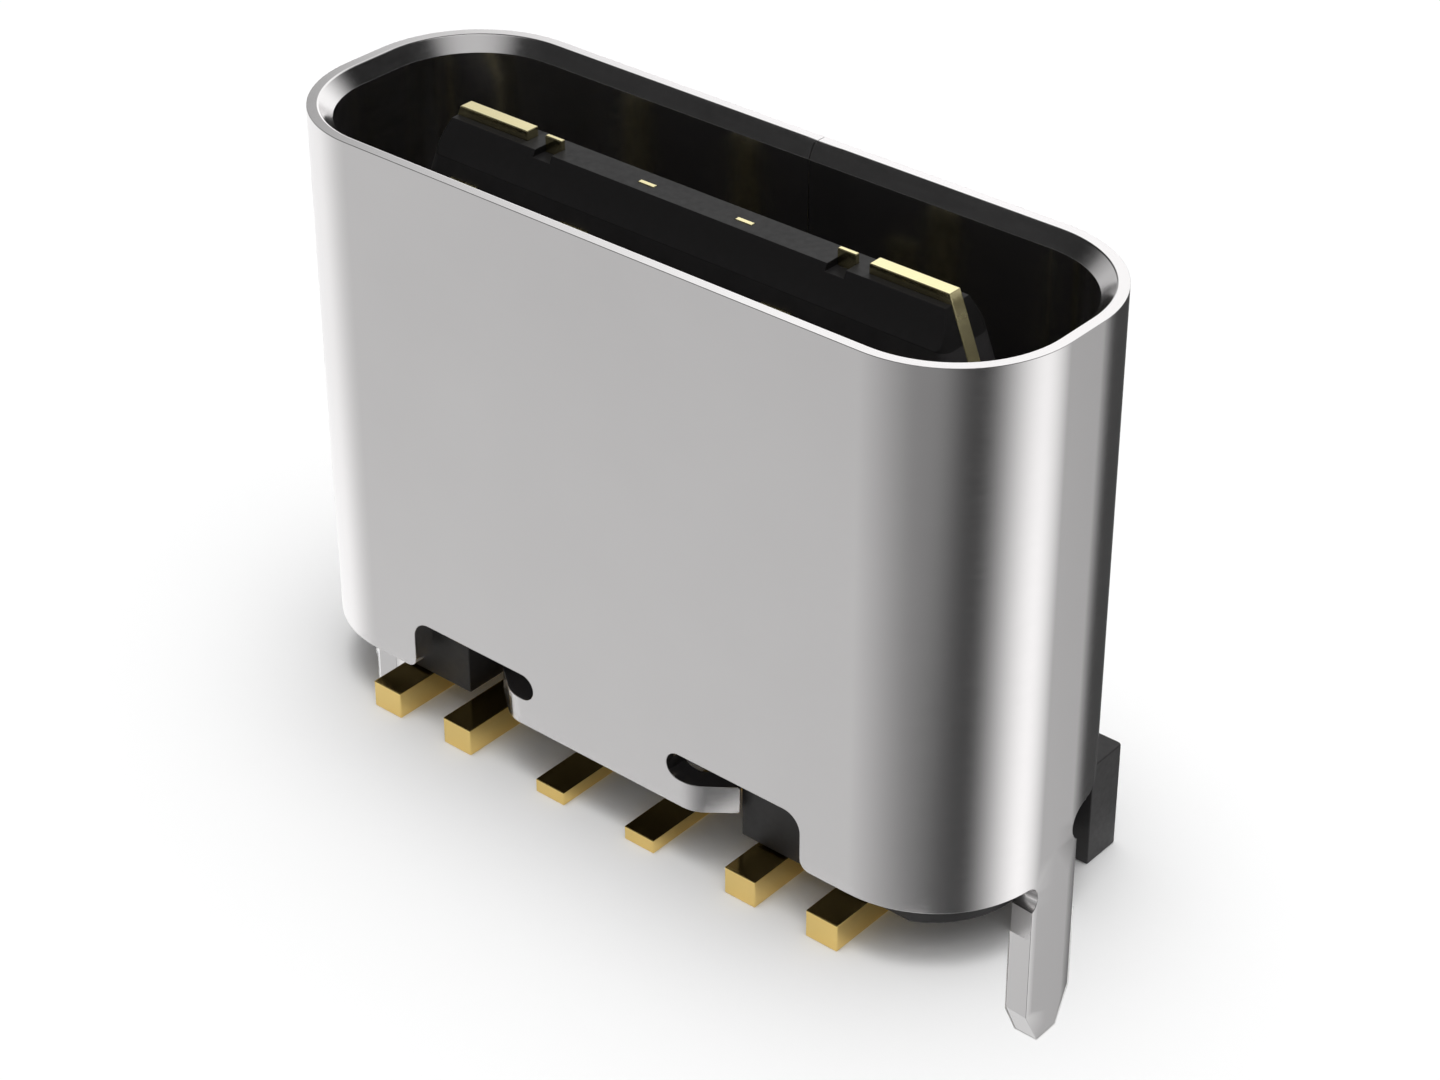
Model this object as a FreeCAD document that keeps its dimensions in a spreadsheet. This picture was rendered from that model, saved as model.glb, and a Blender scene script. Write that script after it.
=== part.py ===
import FreeCAD, Part
import Sketcher
import os

# Upright usb-c socket for a circuit board.
# Frame: X across the opening's long side, Y towards the back, Z up, millimetres.
# The origin is the middle of the shell in plan, on the top face of the board.

SIZES = {
    # steel sheet and opening of the shell
    "sheet_thick": 0.25,
    "opening_width": 8.34,
    "opening_depth": 2.56,
    "opening_corner": 1.04,
    "rim_height": 6.50,
    "leadin_width": 0.14,
    "leadin_depth": 0.15,
    "rim_round": 0.03,
    "front_edge_height": 0.66,
    "rear_edge_height": 1.20,
    "seam_place": 0.30,
    "seam_gap": 0.02,
    # stakes that pass through the board
    "stake_front": 0.33,
    "stake_back": 0.36,
    "stake_taper_height": -0.945,
    "stake_tip_height": -1.335,
    "stake_tip_front": 0.13,
    "stake_tip_back": 0.17,
    "relief_front_place": 0.42,
    "relief_front_height": 0.49,
    "relief_front_round": 0.17,
    "relief_rear_place": 0.47,
    "relief_rear_height": 1.00,
    "relief_rear_round": 0.20,
    # cut-outs and locking tabs of the front wall
    "notch_inner": 0.885,
    "notch_outer": 2.55,
    "notch_top": 1.265,
    "tab_top": 0.97,
    "slot_round": 0.147,
    "notch_top_round": 0.20,
    "notch_foot_round": 0.12,
    "tab_bend_place": 1.08,
    "tab_bend_inner": 0.13,
    "tab_sine": 0.6157,
    "tab_cosine": 0.7880,
    "tab_straight": 0.335,
    # housing
    "fit_gap": 0.01,
    "block_bottom": 0.335,
    "block_front": 1.16,
    "recess_left": 2.15,
    "recess_right": 1.53,
    "recess_back": 0.60,
    "recess_top": 1.35,
    "floor_height": 1.50,
    "collar_height": 1.95,
    "collar_width": 7.20,
    "collar_depth": 1.40,
    "bar_half_width": 4.15,
    "bar_front": 0.985,
    "bar_back": 1.48,
    "bar_top": 1.195,
    "bar_break": 0.05,
    # tongue
    "root_width": 7.00,
    "root_depth": 1.00,
    "tongue_thick": 0.70,
    "tongue_half_width": 3.345,
    "tongue_flare_height": 5.52,
    "tongue_tip_half": 3.00,
    "tip_height": 6.40,
    "shoulder_height": 6.30,
    "shoulder_half": 3.0283,
    "plate_proud": 0.01,
    "nose_half": 0.173,
    "nose_low": 5.95,
    "plate_thick": 0.16,
    "plate_inner": 2.10,
    "tongue_round": 0.12,
    # contact strips
    "strip_thick": 0.155,
    "bend_round": 0.20,
    "pad_width": 0.355,
    "pad_proud": 0.025,
    "pad_top": 5.76,
    "cc_pad_top": 5.26,
    "foot_width": 0.38,
    "foot_front": 1.63,
    "tail_top": 1.20,
    "neck_low": 0.60,
    "tie_low": 0.80,
    "tie_top": 1.10,
    "ground_foot": 2.91,
    "ground_pad": 2.72,
    "power_foot": 1.90,
    "power_pad": 1.25,
    "cc_foot": 0.60,
    "cc_pad": 0.75,
    "power_end_inner": 1.695,
    "power_end_outer": 1.91,
    "power_end_front": 0.03,
    "power_end_back": 0.025,
    "power_ledge_height": 6.23,
    "cc_end_inner": 0.50,
    "cc_end_outer": 0.70,
    "cc_end_front": 0.053,
    "cc_end_back": 0.007,
    "cc_tip_height": 6.305,
}

doc = FreeCAD.newDocument("usb_c_socket")
sheet = doc.addObject("Spreadsheet::Sheet", "Sizes")
for row, (alias, value) in enumerate(SIZES.items(), start=1):
    sheet.set("A%d" % row, alias)
    sheet.set("B%d" % row, repr(value))
    sheet.setAlias("B%d" % row, alias)
doc.recompute()


class Dim:
    """A length with its present value and the expression that drives it."""

    def __init__(self, value, text):
        self.value = value
        self.text = text

    def __add__(self, other):
        other = dim(other)
        return Dim(self.value + other.value, "(%s + %s)" % (self.text, other.text))

    __radd__ = __add__

    def __sub__(self, other):
        other = dim(other)
        return Dim(self.value - other.value, "(%s - %s)" % (self.text, other.text))

    def __rsub__(self, other):
        return dim(other) - self

    def __mul__(self, other):
        other = dim(other)
        return Dim(self.value * other.value, "(%s * %s)" % (self.text, other.text))

    __rmul__ = __mul__

    def __neg__(self):
        return Dim(-self.value, "(0 - %s)" % self.text)


def dim(value):
    if isinstance(value, Dim):
        return value
    return Dim(float(value), repr(float(value)))


def size(alias):
    return Dim(float(sheet.get(alias)), "Sizes.%s" % alias)


# sheet, shell and opening
thick = size("sheet_thick")
half_x = size("opening_width") * 0.5
half_y = size("opening_depth") * 0.5
outer_x = half_x + thick
outer_y = half_y + thick
inner_r = size("opening_corner")
outer_r = inner_r + thick
rim = size("rim_height")
FAR = 3.0

LOCAL = {"XY_Plane": 1.0, "XZ_Plane": -1.0, "YZ_Plane": 1.0}


def plane(body, role):
    for feature in body.Origin.OriginFeatures:
        if feature.Role == role:
            return feature
    raise RuntimeError("no plane " + role)


def bind(obj, path, value):
    obj.setExpression(path, value.text)


def sketch_on(body, name, role, level):
    """A sketch on one of the body's own planes, lifted to a level along that plane's axis."""
    sk = body.newObject("Sketcher::SketchObject", name)
    sk.AttachmentSupport = [(plane(body, role), "")]
    sk.MapMode = "FlatFace"
    lift = dim(level) * LOCAL[role]
    sk.AttachmentOffset = FreeCAD.Placement(
        FreeCAD.Vector(0, 0, lift.value), FreeCAD.Rotation()
    )
    bind(sk, "AttachmentOffset.Base.z", lift)
    return sk


def fix_point(sk, geo, pos, x, y):
    for kind, value, axis in (("DistanceX", x, -2), ("DistanceY", y, -1)):
        if value.text == "0.0":
            sk.addConstraint(Sketcher.Constraint("PointOnObject", geo, pos, axis))
        else:
            index = sk.addConstraint(Sketcher.Constraint(kind, geo, pos, value.value))
            bind(sk, "Constraints[%d]" % index, value)


def polygon(sk, points):
    """A closed outline of straight lines whose corners are all placed from the sheet."""
    points = [(dim(a), dim(b)) for a, b in points]
    first = sk.GeometryCount
    count = len(points)
    for i in range(count):
        a, b = points[i], points[(i + 1) % count]
        sk.addGeometry(
            Part.LineSegment(
                FreeCAD.Vector(a[0].value, a[1].value, 0),
                FreeCAD.Vector(b[0].value, b[1].value, 0),
            ),
            False,
        )
    for i in range(count):
        j = (i + 1) % count
        sk.addConstraint(Sketcher.Constraint("Coincident", first + i, 2, first + j, 1))
    for i, (x, y) in enumerate(points):
        fix_point(sk, first + i, 1, x, y)


def circle(sk, x, y, radius):
    geo = sk.addGeometry(
        Part.Circle(FreeCAD.Vector(x.value, y.value, 0), FreeCAD.Vector(0, 0, 1), radius.value),
        False,
    )
    fix_point(sk, geo, 3, x, y)
    index = sk.addConstraint(Sketcher.Constraint("Radius", geo, radius.value))
    bind(sk, "Constraints[%d]" % index, radius)


def rounded_outline(sk, half_width, half_depth, radius):
    """A rectangle about the origin with four equal round corners."""
    x, y = half_width, half_depth
    cx, cy = x - radius, y - radius
    first = sk.GeometryCount
    sides = [
        ((-cx, -y), (cx, -y)),
        ((x, -cy), (x, cy)),
        ((cx, y), (-cx, y)),
        ((-x, cy), (-x, -cy)),
    ]
    middles = [(cx, -cy), (cx, cy), (-cx, cy), (-cx, -cy)]
    for (a, b), centre, turn in zip(sides, middles, range(4)):
        sk.addGeometry(
            Part.LineSegment(
                FreeCAD.Vector(a[0].value, a[1].value, 0),
                FreeCAD.Vector(b[0].value, b[1].value, 0),
            ),
            False,
        )
        start, end = b, sides[(turn + 1) % 4][0]
        heart = FreeCAD.Vector(centre[0].value, centre[1].value, 0)
        lean = FreeCAD.Vector(
            start[0].value + end[0].value, start[1].value + end[1].value, 0
        ) * 0.5 - heart
        sk.addGeometry(
            Part.Arc(
                FreeCAD.Vector(start[0].value, start[1].value, 0),
                heart + lean.normalize() * radius.value,
                FreeCAD.Vector(end[0].value, end[1].value, 0),
            ),
            False,
        )
    for turn, (a, b) in enumerate(sides):
        line, arc = first + 2 * turn, first + 2 * turn + 1
        following = first + (2 * turn + 2) % 8
        sk.addConstraint(Sketcher.Constraint("Coincident", line, 2, arc, 1))
        sk.addConstraint(Sketcher.Constraint("Coincident", arc, 2, following, 1))
        fix_point(sk, line, 1, *a)
        fix_point(sk, line, 2, *b)
        index = sk.addConstraint(Sketcher.Constraint("Radius", arc, radius.value))
        bind(sk, "Constraints[%d]" % index, radius)


def extrude(body, name, sk, role, low, high, kind):
    """Pad or Pocket between two levels; the sketch already lies at the start level."""
    feature = body.newObject("PartDesign::" + kind, name)
    feature.Profile = sk
    length = dim(high) - dim(low)
    feature.Length = length.value
    bind(feature, "Length", length)
    feature.Reversed = kind == "Pocket"
    return feature


def start_level(role, low, high):
    return high if LOCAL[role] < 0 else low


def volume_step(body, name, grows):
    doc.recompute()
    shape = body.Shape
    before = volume_step.last.get(body.Name, 0.0)
    now = shape.Volume
    if grows and now < before + 1e-7 or not grows and now > before - 1e-7:
        raise RuntimeError("%s does not change %s: %.6f -> %.6f" % (name, body.Name, before, now))
    volume_step.last[body.Name] = now


volume_step.last = {}


def pad(body, name, role, outlines, low, high):
    sk = sketch_on(body, name + "_sketch", role, start_level(role, low, high))
    for points in outlines:
        polygon(sk, points)
    feature = extrude(body, name, sk, role, low, high, "Pad")
    volume_step(body, name, True)
    return feature


def pocket(body, name, role, outlines, low, high):
    sk = sketch_on(body, name + "_sketch", role, start_level(role, low, high))
    for points in outlines:
        polygon(sk, points)
    feature = extrude(body, name, sk, role, low, high, "Pocket")
    volume_step(body, name, False)
    return feature


def box(x0, x1, y0, y1):
    return [(x0, y0), (x1, y0), (x1, y1), (x0, y1)]


def near(a, b, tol=2e-3):
    return abs(a - (b.value if isinstance(b, Dim) else b)) < tol


def edge_names(feature, test):
    names = []
    for i, edge in enumerate(feature.Shape.Edges, start=1):
        if test(edge, edge.BoundBox):
            names.append("Edge%d" % i)
    return names


def fillet(body, name, base, test, radius, expected):
    names = edge_names(base, test)
    if len(names) != expected:
        raise RuntimeError("%s found %d edges, not %d" % (name, len(names), expected))
    feature = body.newObject("PartDesign::Fillet", name)
    feature.Base = (base, names)
    feature.Radius = radius.value
    bind(feature, "Radius", radius)
    doc.recompute()
    volume_step.last[body.Name] = body.Shape.Volume
    return feature


def upright(box_):
    return box_.XLength < 1e-6 and box_.YLength < 1e-6


# ---------------------------------------------------------------- shell
shell = doc.addObject("PartDesign::Body", "shell_body")
tip_z = size("stake_tip_height")

tube_sketch = sketch_on(shell, "tube_sketch", "XY_Plane", tip_z)
rounded_outline(tube_sketch, outer_x, outer_y, outer_r)
rounded_outline(tube_sketch, half_x, half_y, inner_r)
tube = extrude(shell, "tube", tube_sketch, "XY_Plane", tip_z, rim, "Pad")
volume_step(shell, "tube", True)

# Side outline: the front and back walls stop above the board, and the end walls go on as stakes
# with a round relief at each root.
sf, sb = size("stake_front"), size("stake_back")
side = pocket(
    shell,
    "side_outline",
    "YZ_Plane",
    [
        [
            (-FAR, size("front_edge_height")),
            (-size("relief_front_place"), size("front_edge_height")),
            (-sf, size("relief_front_height")),
            (-sf, size("stake_taper_height")),
            (-size("stake_tip_front"), tip_z),
            (-size("stake_tip_front"), -FAR),
            (-FAR, -FAR),
        ],
        [
            (FAR, size("rear_edge_height")),
            (size("relief_rear_place"), size("rear_edge_height")),
            (sb, size("relief_rear_height")),
            (sb, size("stake_taper_height")),
            (size("stake_tip_back"), tip_z),
            (size("stake_tip_back"), -FAR),
            (FAR, -FAR),
        ],
    ],
    -2 * FAR,
    2 * FAR,
)
relief_sketch = sketch_on(shell, "root_reliefs_sketch", "YZ_Plane", dim(-2 * FAR))
circle(
    relief_sketch,
    -size("relief_front_place"),
    size("relief_front_height"),
    size("relief_front_round"),
)
circle(
    relief_sketch,
    size("relief_rear_place"),
    size("relief_rear_height"),
    size("relief_rear_round"),
)
reliefs = extrude(
    shell, "root_reliefs", relief_sketch, "YZ_Plane", dim(-2 * FAR), dim(2 * FAR), "Pocket"
)
volume_step(shell, "root_reliefs", False)

# Front cut-outs: a rounded slot frees each locking tab, and widens into an open notch.
ni, no_, nt, tt = size("notch_inner"), size("notch_outer"), size("notch_top"), size("tab_top")
bend = size("tab_bend_place")
outlines = []
for s in (1, -1):
    outlines.append(
        [
            (s * ni, tt),
            (s * ni, nt),
            (s * no_, nt),
            (s * no_, dim(-FAR)),
            (s * bend, dim(-FAR)),
            (s * bend, tt),
        ]
    )
notch = pocket(shell, "front_notches", "XZ_Plane", outlines, -FAR, -1.0)

# Locking tabs: the strip below the slot runs on and turns inwards.
ri = size("tab_bend_inner")
ro = ri + thick
sine, cosine, straight = size("tab_sine"), size("tab_cosine"), size("tab_straight")
tab_sketch = sketch_on(shell, "tabs_sketch", "XY_Plane", size("front_edge_height"))
for s in (1, -1):
    centre = (s * bend, ro - outer_y)
    root_out = (s * (bend - 0.08), -outer_y)
    root_in = (s * (bend - 0.08), -half_y)
    bend_out = (s * bend, -outer_y)
    bend_in = (s * bend, -half_y)
    turn_out = (centre[0] + s * ro * sine, centre[1] - ro * cosine)
    turn_in = (centre[0] + s * ri * sine, centre[1] - ri * cosine)
    end_out = (turn_out[0] + s * straight * cosine, turn_out[1] + straight * sine)
    end_in = (end_out[0] - s * thick * sine, end_out[1] + thick * cosine)
    g = tab_sketch.GeometryCount

    def vec(p):
        return FreeCAD.Vector(p[0].value, p[1].value, 0)

    def mid(radius):
        angle = FreeCAD.Vector(s * 0.3256, -0.9455, 0)
        return vec(centre) + angle * radius.value

    tab_sketch.addGeometry(
        [
            Part.LineSegment(vec(root_in), vec(root_out)),
            Part.LineSegment(vec(root_out), vec(bend_out)),
            Part.Arc(vec(bend_out), mid(ro), vec(turn_out)),
            Part.LineSegment(vec(turn_out), vec(end_out)),
            Part.LineSegment(vec(end_out), vec(end_in)),
            Part.LineSegment(vec(end_in), vec(turn_in)),
            Part.Arc(vec(turn_in), mid(ri), vec(bend_in)),
            Part.LineSegment(vec(bend_in), vec(root_in)),
        ],
        False,
    )
    # an arc is stored anticlockwise, so its start and end change places with the side
    out_start, out_end = (1, 2) if s > 0 else (2, 1)
    in_start, in_end = (1, 2) if s > 0 else (2, 1)
    join = [
        (g, 2, g + 1, 1),
        (g + 1, 2, g + 2, out_start),
        (g + 2, out_end, g + 3, 1),
        (g + 3, 2, g + 4, 1),
        (g + 4, 2, g + 5, 1),
        (g + 5, 2, g + 6, in_end),
        (g + 6, in_start, g + 7, 1),
        (g + 7, 2, g, 1),
    ]
    for a, b, c, d in join:
        tab_sketch.addConstraint(Sketcher.Constraint("Coincident", a, b, c, d))
    fix_point(tab_sketch, g, 1, *root_in)
    fix_point(tab_sketch, g, 2, *root_out)
    fix_point(tab_sketch, g + 1, 2, *bend_out)
    fix_point(tab_sketch, g + 3, 1, *turn_out)
    fix_point(tab_sketch, g + 4, 1, *end_out)
    fix_point(tab_sketch, g + 5, 1, *end_in)
    fix_point(tab_sketch, g + 5, 2, *turn_in)
    fix_point(tab_sketch, g + 7, 1, *bend_in)
    for arc, radius in ((g + 2, ro), (g + 6, ri)):
        index = tab_sketch.addConstraint(Sketcher.Constraint("Radius", arc, radius.value))
        bind(tab_sketch, "Constraints[%d]" % index, radius)
tabs = extrude(
    shell, "tabs", tab_sketch, "XY_Plane", size("front_edge_height"), tt, "Pad"
)
volume_step(shell, "tabs", True)


def through_front(b):
    return b.YLength > 0.2 and b.XLength < 1e-6 and b.ZLength < 1e-6 and b.YMax < -1.0


slot_round = fillet(
    shell,
    "slot_ends",
    tabs,
    lambda e, b: through_front(b)
    and near(abs(b.XMin), ni)
    and (near(b.ZMin, nt) or near(b.ZMin, tt)),
    size("slot_round"),
    4,
)
notch_round = fillet(
    shell,
    "notch_corners",
    slot_round,
    lambda e, b: through_front(b) and near(abs(b.XMin), no_) and near(b.ZMin, nt),
    size("notch_top_round"),
    2,
)
foot_round = fillet(
    shell,
    "notch_feet",
    notch_round,
    lambda e, b: through_front(b)
    and near(abs(b.XMin), no_)
    and near(b.ZMin, size("front_edge_height")),
    size("notch_foot_round"),
    2,
)

# Butt seam of the folded sheet in the back wall.
seam_x, seam_half = size("seam_place"), size("seam_gap") * 0.5
seam = pocket(
    shell,
    "seam",
    "XY_Plane",
    [box(seam_x - seam_half, seam_x + seam_half, dim(1.0), dim(FAR))],
    -FAR,
    2 * rim,
)

# Lead-in round the mouth, and a broken outer edge.
leadin = shell.newObject("PartDesign::Chamfer", "leadin")


def mouth(e, b):
    if not (near(b.ZMin, rim) and near(b.ZMax, rim)):
        return False
    x, y = e.valueAt((e.FirstParameter + e.LastParameter) / 2)[:2]
    inside_x = abs(x) < half_x.value + 0.01
    inside_y = abs(y) < half_y.value + 0.01
    if not (inside_x and inside_y):
        return False
    cx, cy = half_x.value - inner_r.value, half_y.value - inner_r.value
    if abs(x) > cx and abs(y) > cy:
        return ((abs(x) - cx) ** 2 + (abs(y) - cy) ** 2) ** 0.5 < inner_r.value + 0.05
    return b.XLength > 0.05 or b.YLength > 0.3


names = edge_names(seam, mouth)
if len(names) != 9:
    raise RuntimeError("leadin found %d edges" % len(names))
leadin.Base = (seam, names)
leadin.ChamferType = "Two distances"
leadin.Size = SIZES["leadin_width"]
leadin.Size2 = SIZES["leadin_depth"]
bind(leadin, "Size", size("leadin_width"))
bind(leadin, "Size2", size("leadin_depth"))
volume_step(shell, "leadin", False)


def outer_rim(e, b):
    if not (near(b.ZMin, rim) and near(b.ZMax, rim)):
        return False
    x, y = e.valueAt((e.FirstParameter + e.LastParameter) / 2)[:2]
    cx, cy = outer_x.value - outer_r.value, outer_y.value - outer_r.value
    if abs(x) > cx and abs(y) > cy:
        return ((abs(x) - cx) ** 2 + (abs(y) - cy) ** 2) ** 0.5 > outer_r.value - 0.02
    return near(abs(x), outer_x) or near(abs(y), outer_y)


rim_edge = fillet(shell, "rim_edge", leadin, outer_rim, size("rim_round"), 9)

# ---------------------------------------------------------------- contact strips
st = size("strip_thick")
face = size("tongue_thick") * 0.5
foot_front = -size("foot_front")
foot_half = size("foot_width") * 0.5
pad_half = size("pad_width") * 0.5
tail_top, neck_low = size("tail_top"), size("neck_low")
tie_low, tie_top = size("tie_low"), size("tie_top")
tip = size("tip_height")
zero = dim(0)


def span(s, inner, outer):
    """Left and right limits of a strip that lies between two distances on side s."""
    return (inner, outer) if s > 0 else (-outer, -inner)


def tail(body, name, s, centre, front_low, back_low):
    """Foot and riser: the front strip, the back strip, or both folded on each other."""
    low, high = span(s, centre - foot_half, centre + foot_half)
    if front_low is not None:
        pad(
            body,
            name + "_front",
            "YZ_Plane",
            [
                [
                    (foot_front, front_low),
                    (st - face, front_low),
                    (st - face, tail_top),
                    (-face, tail_top),
                    (-face, front_low + st),
                    (foot_front, front_low + st),
                ]
            ],
            low,
            high,
        )
    if back_low is not None:
        pad(
            body,
            name + "_back",
            "YZ_Plane",
            [
                [
                    (foot_front, back_low),
                    (face, back_low),
                    (face, tail_top),
                    (face - st, tail_top),
                    (face - st, back_low + st),
                    (foot_front, back_low + st),
                ]
            ],
            low,
            high,
        )
    radius = size("bend_round")
    count = (front_low is not None) + (back_low is not None)
    last = body.Tip
    return fillet(
        body,
        name + "_bend",
        last,
        lambda e, b: b.XLength > 0.3
        and b.YLength < 1e-6
        and b.ZLength < 1e-6
        and (
            front_low is not None and near(b.YMin, st - face) and near(b.ZMin, front_low)
            or back_low is not None and near(b.YMin, face) and near(b.ZMin, back_low)
        ),
        radius,
        count,
    )


def riser(body, name, s, centre, top, front, back):
    """Pad strips that lie in the tongue's faces and stand a little proud of them."""
    low, high = span(s, centre - pad_half, centre + pad_half)
    skin = face + size("pad_proud")
    outlines = []
    if front:
        outlines.append(box(-skin, st - skin, neck_low, top))
    if back:
        outlines.append(box(skin - st, skin, neck_low, top))
    return pad(body, name, "YZ_Plane", outlines, low, high)


def ground(name, s):
    body = doc.addObject("PartDesign::Body", name + "_body")
    if s > 0:
        tail(body, name + "_tail", s, size("ground_foot"), st, zero)
    else:
        tail(body, name + "_tail", s, size("ground_foot"), st, zero)
    riser(body, name + "_pads", s, size("ground_pad"), size("pad_top"), True, True)
    low, high = span(s, size("ground_pad") - pad_half, size("ground_foot") + foot_half)
    pad(body, name + "_tie", "YZ_Plane", [box(-face, face, tie_low, tie_top)], low, high)
    half = size("plate_thick") * 0.5
    wide, narrow = size("tongue_half_width"), size("tongue_tip_half")
    pad(
        body,
        name + "_plate",
        "XZ_Plane",
        [
            [
                (s * size("plate_inner"), tie_low),
                (s * size("plate_inner"), tip),
                (s * narrow, tip),
                (s * wide, size("tongue_flare_height")),
                (s * wide, tie_low),
            ]
        ],
        -half,
        half,
    )
    return body


def power(name, s):
    body = doc.addObject("PartDesign::Body", name + "_body")
    tail(body, name + "_tail", s, size("power_foot"), st, zero)
    low, high = span(s, size("power_pad") - pad_half, size("power_foot") + foot_half)
    pad(
        body,
        name + "_neck",
        "YZ_Plane",
        [box(-face, st - face, tie_low, tie_top), box(face - st, face, tie_low, tie_top)],
        low,
        high,
    )
    riser(body, name + "_pads", s, size("power_pad"), size("pad_top"), True, True)
    low, high = span(s, size("power_foot") - foot_half, size("power_end_outer"))
    pad(body, name + "_tie", "YZ_Plane", [box(-face, face, tie_low, tie_top)], low, high)
    low, high = span(s, size("power_end_inner"), size("power_end_outer"))
    pad(
        body,
        name + "_end",
        "YZ_Plane",
        [box(-size("power_end_front"), size("power_end_back"), tie_low, tip)],
        low,
        high,
    )
    return body


def configuration(name, s, front):
    body = doc.addObject("PartDesign::Body", name + "_body")
    if front:
        tail(body, name + "_tail", s, size("cc_foot"), zero, None)
    else:
        tail(body, name + "_tail", s, size("cc_foot"), None, zero)
    riser(body, name + "_pad", s, size("cc_pad"), size("cc_pad_top"), front, not front)
    back = size("cc_end_back")
    forward = -size("cc_end_front")
    low, high = span(s, size("cc_foot") - foot_half, size("cc_foot") + foot_half)
    reach = box(-face, back, tie_low, tie_top) if front else box(forward, face, tie_low, tie_top)
    pad(body, name + "_tie", "YZ_Plane", [reach], low, high)
    low, high = span(s, size("cc_end_inner"), size("cc_end_outer"))
    pad(
        body,
        name + "_end",
        "YZ_Plane",
        [box(forward, back, tie_low, size("cc_tip_height"))],
        low,
        high,
    )
    return body


ground_left = ground("ground_terminal_left", -1)
ground_right = ground("ground_terminal_right", 1)
power_left = power("power_terminal_left", -1)
power_right = power("power_terminal_right", 1)
cc_left = configuration("cc_terminal_left", -1, True)
cc_right = configuration("cc_terminal_right", 1, False)

# ---------------------------------------------------------------- tongue moulding
insert = doc.addObject("PartDesign::Body", "insert_body")
root_x, root_y = size("root_width") * 0.5, size("root_depth") * 0.5
pad(
    insert,
    "root",
    "XY_Plane",
    [box(-root_x, root_x, -root_y, root_y)],
    size("block_bottom"),
    size("collar_height"),
)
wide, shoulder = size("tongue_half_width") - size("plate_proud"), size("shoulder_half")
top = size("shoulder_height")
tongue = pad(
    insert,
    "tongue",
    "XZ_Plane",
    [
        [
            (-wide, size("collar_height") - 0.2),
            (wide, size("collar_height") - 0.2),
            (wide, size("tongue_flare_height")),
            (shoulder, top),
            (-shoulder, top),
            (-wide, size("tongue_flare_height")),
        ]
    ],
    -face,
    face,
)
tongue_edges = fillet(
    insert,
    "tongue_edges",
    tongue,
    lambda e, b: b.YLength < 1e-6
    and near(abs(b.YMin), face)
    and b.ZLength > 0.1
    and b.ZMax > size("collar_height").value + 0.1,
    size("tongue_round"),
    8,
)
# the tip narrows to a flat nose
nose, nose_low = size("nose_half"), size("nose_low")
pocket(
    insert,
    "nose",
    "YZ_Plane",
    [[(-nose, top), (-face, top), (-face, nose_low)], [(nose, top), (face, nose_low), (face, top)]],
    -2 * FAR,
    2 * FAR,
)
# small recesses in front of the cut strip ends
pi_, po = size("power_end_inner"), size("power_end_outer")
pocket(
    insert,
    "power_end_recesses",
    "XZ_Plane",
    [
        box(pi_, po, size("power_ledge_height"), tip),
        box(-po, -pi_, size("power_ledge_height"), tip),
    ],
    -face,
    -size("power_end_front"),
)

# ---------------------------------------------------------------- housing
housing = doc.addObject("PartDesign::Body", "housing_body")
gap = size("fit_gap")
hx, hy = half_x - gap, half_y - gap
block = pad(
    housing,
    "block",
    "XY_Plane",
    [box(-hx, hx, -hy, hy)],
    size("block_bottom"),
    size("floor_height"),
)
fillet(housing, "block_corners", block, lambda e, b: upright(b), inner_r - gap, 4)
pocket(
    housing,
    "front_step",
    "YZ_Plane",
    [box(-FAR, -size("block_front"), -1.0, size("recess_top"))],
    -2 * FAR,
    2 * FAR,
)
pocket(
    housing,
    "front_recess",
    "XY_Plane",
    [box(-size("recess_left"), size("recess_right"), -FAR, -size("recess_back"))],
    -1.0,
    size("recess_top"),
)
bar_x = size("bar_half_width")
bar = pad(
    housing,
    "rear_bar",
    "XY_Plane",
    [box(-bar_x, bar_x, size("bar_front"), size("bar_back"))],
    zero,
    size("bar_top"),
)
fillet(
    housing,
    "bar_edges",
    bar,
    lambda e, b: upright(b) and near(abs(b.XMin), bar_x) and near(b.YMin, size("bar_back")),
    size("bar_break"),
    2,
)
collar_x, collar_y = size("collar_width") * 0.5, size("collar_depth") * 0.5
pad(
    housing,
    "collar",
    "XY_Plane",
    [box(-collar_x, collar_x, -collar_y, collar_y)],
    size("floor_height"),
    size("collar_height"),
)

# ---------------------------------------------------------------- finished pieces
strips = doc.addObject("Part::MultiFuse", "all_strips")
strips.Shapes = [ground_left, ground_right, power_left, power_right, cc_left, cc_right]

insert_cut = doc.addObject("Part::Cut", "insert_cut")
insert_cut.Base = insert
insert_cut.Tool = strips

housing_pocket = doc.addObject("Part::Cut", "housing_pocket")
housing_pocket.Base = housing
housing_pocket.Tool = insert
housing_cut = doc.addObject("Part::Cut", "housing_cut")
housing_cut.Base = housing_pocket
housing_cut.Tool = strips
doc.recompute()

pieces = [
    ("shell", shell),
    ("housing", housing_cut),
    ("contact_insert", insert_cut),
    ("ground_terminal_left", ground_left),
    ("ground_terminal_right", ground_right),
    ("power_terminal_left", power_left),
    ("power_terminal_right", power_right),
    ("cc_terminal_left", cc_left),
    ("cc_terminal_right", cc_right),
]
for label, obj in pieces:
    obj.Label = label
    obj.Placement = FreeCAD.Placement(FreeCAD.Vector(0, 0, 0), FreeCAD.Rotation())
doc.recompute()

for obj in doc.Objects:
    state = [s for s in obj.State if s in ("Invalid", "Error")]
    if state:
        raise RuntimeError("%s is %s" % (obj.Name, state))

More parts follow.
